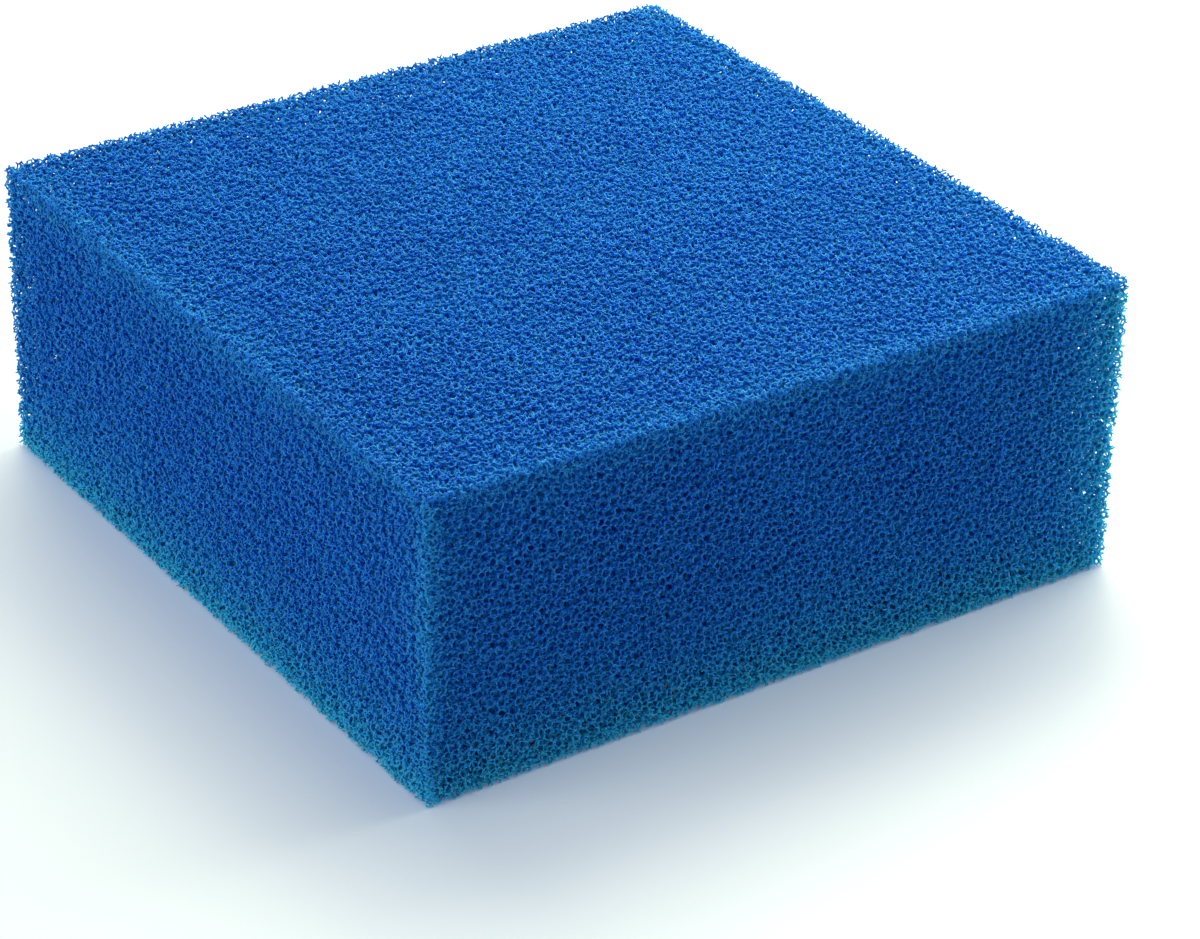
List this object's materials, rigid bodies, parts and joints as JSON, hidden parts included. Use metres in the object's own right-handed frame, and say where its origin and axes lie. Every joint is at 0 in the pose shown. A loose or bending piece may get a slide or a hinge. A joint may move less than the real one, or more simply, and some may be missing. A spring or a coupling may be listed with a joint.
{
  "type": "filter sponge",
  "caption": "Square block of blue open-cell filter foam that fills the basket of an aquarium filter.",
  "frame": {"origin": "centre of the large bottom face", "axes": "+Z through the 50 mm thickness, +X and +Y along the two equal 125 mm sides"},
  "size_m": [0.125, 0.125, 0.05],
  "materials": {
    "foam": "soft open-cell polyurethane foam, matte with glossy cell struts"
  },
  "bodies": {
    "root": {"foam_block": "foam"}
  },
  "joints": []
}
